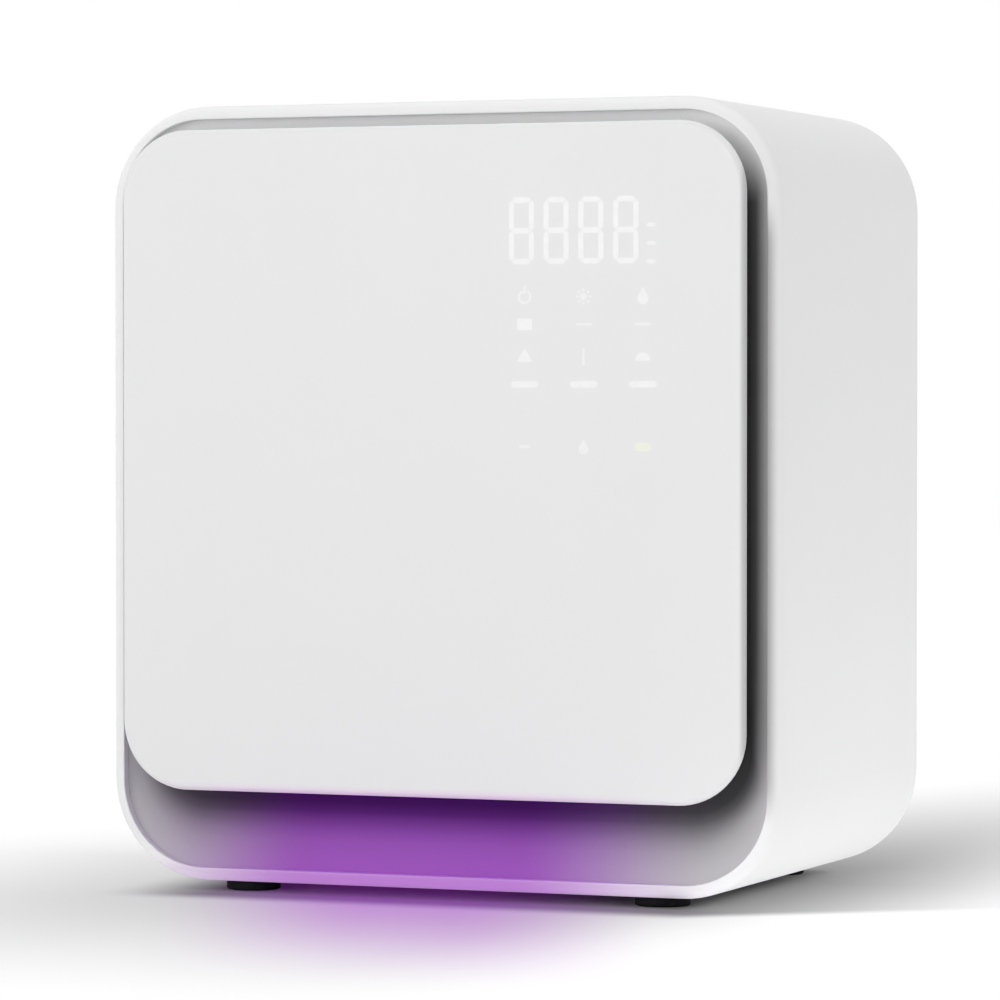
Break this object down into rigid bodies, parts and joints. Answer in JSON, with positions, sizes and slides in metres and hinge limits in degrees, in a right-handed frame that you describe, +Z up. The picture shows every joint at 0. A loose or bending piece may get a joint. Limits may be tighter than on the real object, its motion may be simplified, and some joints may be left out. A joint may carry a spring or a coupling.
{
  "type": "bottle steriliser cabinet",
  "caption": "Rounded white table-top steriliser cabinet with a proud flat hinged door, sloped recess, steel chamber, wire racks, lamp bars and a warm air fan.",
  "frame": {"origin": "middle of the footprint on the table, under the feet", "axes": "+X to the right seen from the front, +Y to the back, +Z up; the door faces -Y"},
  "size_m": [0.34, 0.226, 0.376],
  "materials": {
    "shell_white": "white moulded plastic, fine satin gloss",
    "bezel_white": "white moulded plastic, satin",
    "door_white": "flat white acrylic, smooth satin gloss",
    "tray_white": "white moulded plastic, fine texture",
    "chamber_steel": "brushed stainless sheet",
    "rack_steel": "polished stainless wire",
    "hinge_steel": "zinc plated steel",
    "foot_rubber": "black moulded rubber",
    "seal_silicone": "grey silicone",
    "part_black": "black moulded plastic",
    "board_green": "green solder mask",
    "bare_aluminium": "bare extruded aluminium",
    "dark_core": "dark sintered ferrite",
    "lamp_white": "white reflector plastic",
    "lamp_chip": "ceramic lamp with a clear dome",
    "lamp_glass": "clear quartz sheet",
    "light_bar": "violet tinted clear plastic",
    "pin_brass": "nickel plated brass",
    "filter_felt": "white pleated filter felt"
  },
  "bodies": {
    "cabinet": {"outer_casing": "shell_white", "rubber_feet": "foot_rubber", "front_bezel": "bezel_white", "catch_plates": "hinge_steel", "interlock_switch": "part_black", "chamber_liner": "chamber_steel", "chamber_back": "chamber_steel", "air_diffuser": "chamber_steel", "rack_rails": "chamber_steel", "fan_frame": "part_black", "fan_screws": "hinge_steel", "heater_duct": "part_black", "heater_core": "bare_aluminium", "rear_panel": "shell_white", "rear_screws": "hinge_steel", "power_inlet": "part_black", "inlet_pins": "pin_brass", "board_standoffs": "pin_brass", "power_board": "board_green", "transformer": "dark_core", "capacitors": "part_black", "heat_sink": "bare_aluminium", "bracket_screws": "hinge_steel", "hinge_bracket_upper": "hinge_steel", "hinge_pin_upper": "hinge_steel", "hinge_bracket_lower": "hinge_steel", "hinge_pin_lower": "hinge_steel", "ceiling_uv_housing": "lamp_white", "ceiling_uv_board": "board_green", "ceiling_uv_leds": "lamp_chip", "ceiling_uv_window": "lamp_glass", "rear_uv_housing": "lamp_white", "rear_uv_board": "board_green", "rear_uv_leds": "lamp_chip", "rear_uv_window": "lamp_glass"},
    "door": {"door_panel": "door_white", "door_tray": "tray_white", "door_inner_plate": "chamber_steel", "door_seal": "seal_silicone", "touch_board": "board_green", "display_module": "part_black", "light_guide": "light_bar", "light_board": "board_green", "door_magnets": "dark_core", "leaf_screws": "hinge_steel", "hinge_leaf_upper": "hinge_steel", "hinge_leaf_lower": "hinge_steel"},
    "fan": {"fan_rotor": "part_black"},
    "plunger": {"interlock_plunger": "part_black"},
    "filter": {"filter_cover": "shell_white", "filter_pad": "filter_felt"},
    "lower_rack": {"lower_rack": "rack_steel"},
    "upper_rack": {"upper_rack": "rack_steel"}
  },
  "joints": [
    {"name": "door_hinge", "type": "hinge", "parent": "cabinet", "child": "door", "pos_m": [-0.1495, -0.105, 0.20675], "axis": [0, 0, -1], "range_deg": [0, 110]},
    {"name": "plunger_slide", "type": "slide", "parent": "cabinet", "child": "plunger", "axis": [0, -1, 0], "range_m": [0, 0.002]},
    {"name": "fan_spin", "type": "hinge", "parent": "cabinet", "child": "fan", "pos_m": [0, 0.0875, 0.161], "axis": [0, 1, 0], "continuous": true},
    {"name": "filter_slide", "type": "slide", "parent": "cabinet", "child": "filter", "axis": [0, 1, 0], "range_m": [0, 0.03]},
    {"name": "lower_rack_slide", "type": "slide", "parent": "cabinet", "child": "lower_rack", "axis": [0, -1, 0], "range_m": [0, 0.012]},
    {"name": "upper_rack_slide", "type": "slide", "parent": "cabinet", "child": "upper_rack", "axis": [0, -1, 0], "range_m": [0, 0.012]}
  ],
  "couplings": [
    {"joint": "plunger_slide", "follows": "door_hinge", "m_per_rad": 0.0010417}
  ]
}
